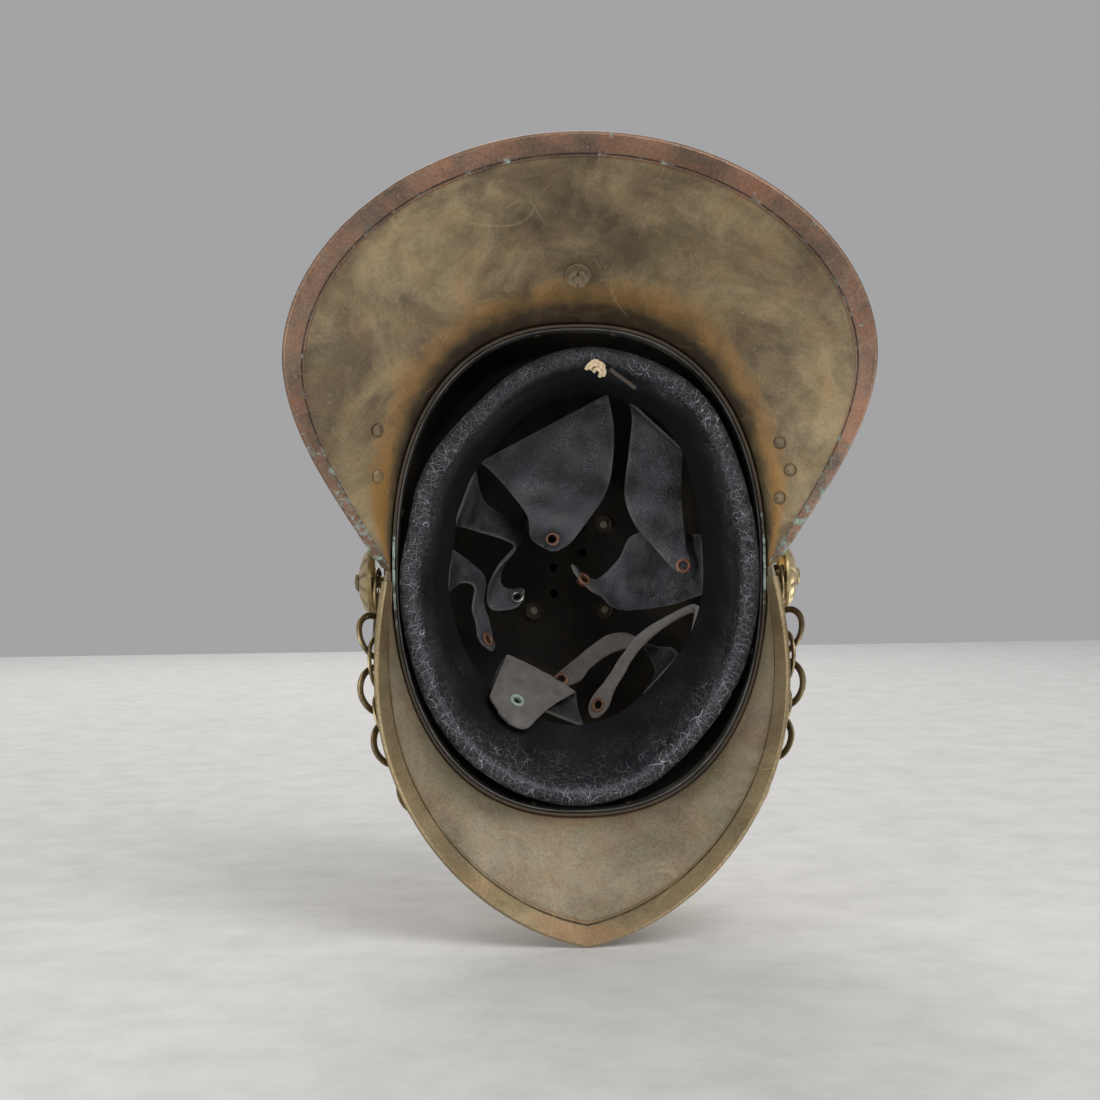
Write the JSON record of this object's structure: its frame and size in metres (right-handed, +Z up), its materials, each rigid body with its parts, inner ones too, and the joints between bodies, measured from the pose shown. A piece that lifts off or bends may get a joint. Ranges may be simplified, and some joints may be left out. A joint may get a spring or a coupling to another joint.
{
  "type": "firefighter helmet",
  "caption": "Brass firefighter helmet with tall comb, rayed front plate, wide bound peaks, ring chin chain stowed over the front peak, and a leather liner with laced crown tongues.",
  "frame": {"origin": "middle of the bounding box on the ground plane, where both peaks' edges rest", "axes": "+Z up to the crown and comb, -Y to the front peak, +Y to the rear peak, +X to the wearer's left"},
  "size_m": [0.2638, 0.363, 0.2404],
  "materials": {
    "patina_brass": "hand-worn, brown olive patina",
    "brass_binding": "rubbed bright on the edge",
    "copper_binding": "reddish copper, spotted",
    "copper_rivets": "dark copper",
    "copper_eyelets": "worn copper",
    "gilded_trim": "polished on the high places",
    "brass_plate": "satin",
    "chain_brass": "worn satin",
    "fastener_brass": "dull",
    "hoop_tin": "dull tinned strip",
    "black_leather": "crackled black",
    "tongue_leather": "black grain, taupe flesh side",
    "tie_cord": "twisted cord",
    "lace": "braided lace"
  },
  "bodies": {
    "helmet": {"skull_left": "patina_brass", "skull_right": "patina_brass", "rear_peak": "patina_brass", "rear_peak_binding": "copper_binding", "rear_peak_rivets": "copper_rivets", "front_peak": "patina_brass", "front_peak_binding": "brass_binding", "comb_left": "patina_brass", "comb_right": "patina_brass", "comb_screws": "fastener_brass", "comb_washers": "fastener_brass", "comb_nuts": "fastener_brass", "comb_tail_screw": "fastener_brass", "comb_tail_washer": "fastener_brass", "comb_tail_nut": "fastener_brass", "front_plate": "brass_plate", "plate_oval": "gilded_trim", "crossed_axes": "gilded_trim", "plate_studs": "fastener_brass", "plate_nuts": "fastener_brass", "left_rosette": "gilded_trim", "right_rosette": "gilded_trim", "left_boss_disc": "chain_brass", "right_boss_disc": "chain_brass", "boss_stems": "fastener_brass", "boss_nuts": "fastener_brass", "liner_hoop": "hoop_tin", "liner_rivets": "copper_rivets", "sweatband": "black_leather", "crown_tongue_1": "tongue_leather", "crown_tongue_2": "tongue_leather", "crown_tongue_3": "tongue_leather", "crown_tongue_4": "tongue_leather", "crown_tongue_5": "tongue_leather", "crown_tongue_6": "tongue_leather", "crown_tongue_7": "tongue_leather", "crown_tongue_8": "tongue_leather", "tongue_eyelets": "copper_eyelets", "liner_tie": "tie_cord", "liner_lace": "lace"},
    "chain_left_arm": {"chain_eye": "chain_brass", "chain_left_rings": "chain_brass"},
    "chain_right_arm": {"chain_hook": "chain_brass", "chain_right_rings": "chain_brass"},
    "chain_front": {"chain_front_rings": "chain_brass"}
  },
  "joints": [
    {"name": "chain_left_swing", "type": "hinge", "parent": "helmet", "child": "chain_left_arm", "pos_m": [0.0945, -0.02094, 0.0656], "axis": [1, 0, 0], "range_deg": [-20, 0]},
    {"name": "chain_right_swing", "type": "hinge", "parent": "helmet", "child": "chain_right_arm", "pos_m": [-0.0945, -0.02094, 0.0656], "axis": [1, 0, 0], "range_deg": [-20, 0]},
    {"name": "chain_front_fold", "type": "hinge", "parent": "chain_left_arm", "child": "chain_front", "pos_m": [0.09433, -0.0618, 0.03792], "axis": [1, 0, 0], "range_deg": [-20, 0]}
  ],
  "couplings": [
    {"joint": "chain_right_swing", "follows": "chain_left_swing", "ratio": 1}
  ]
}
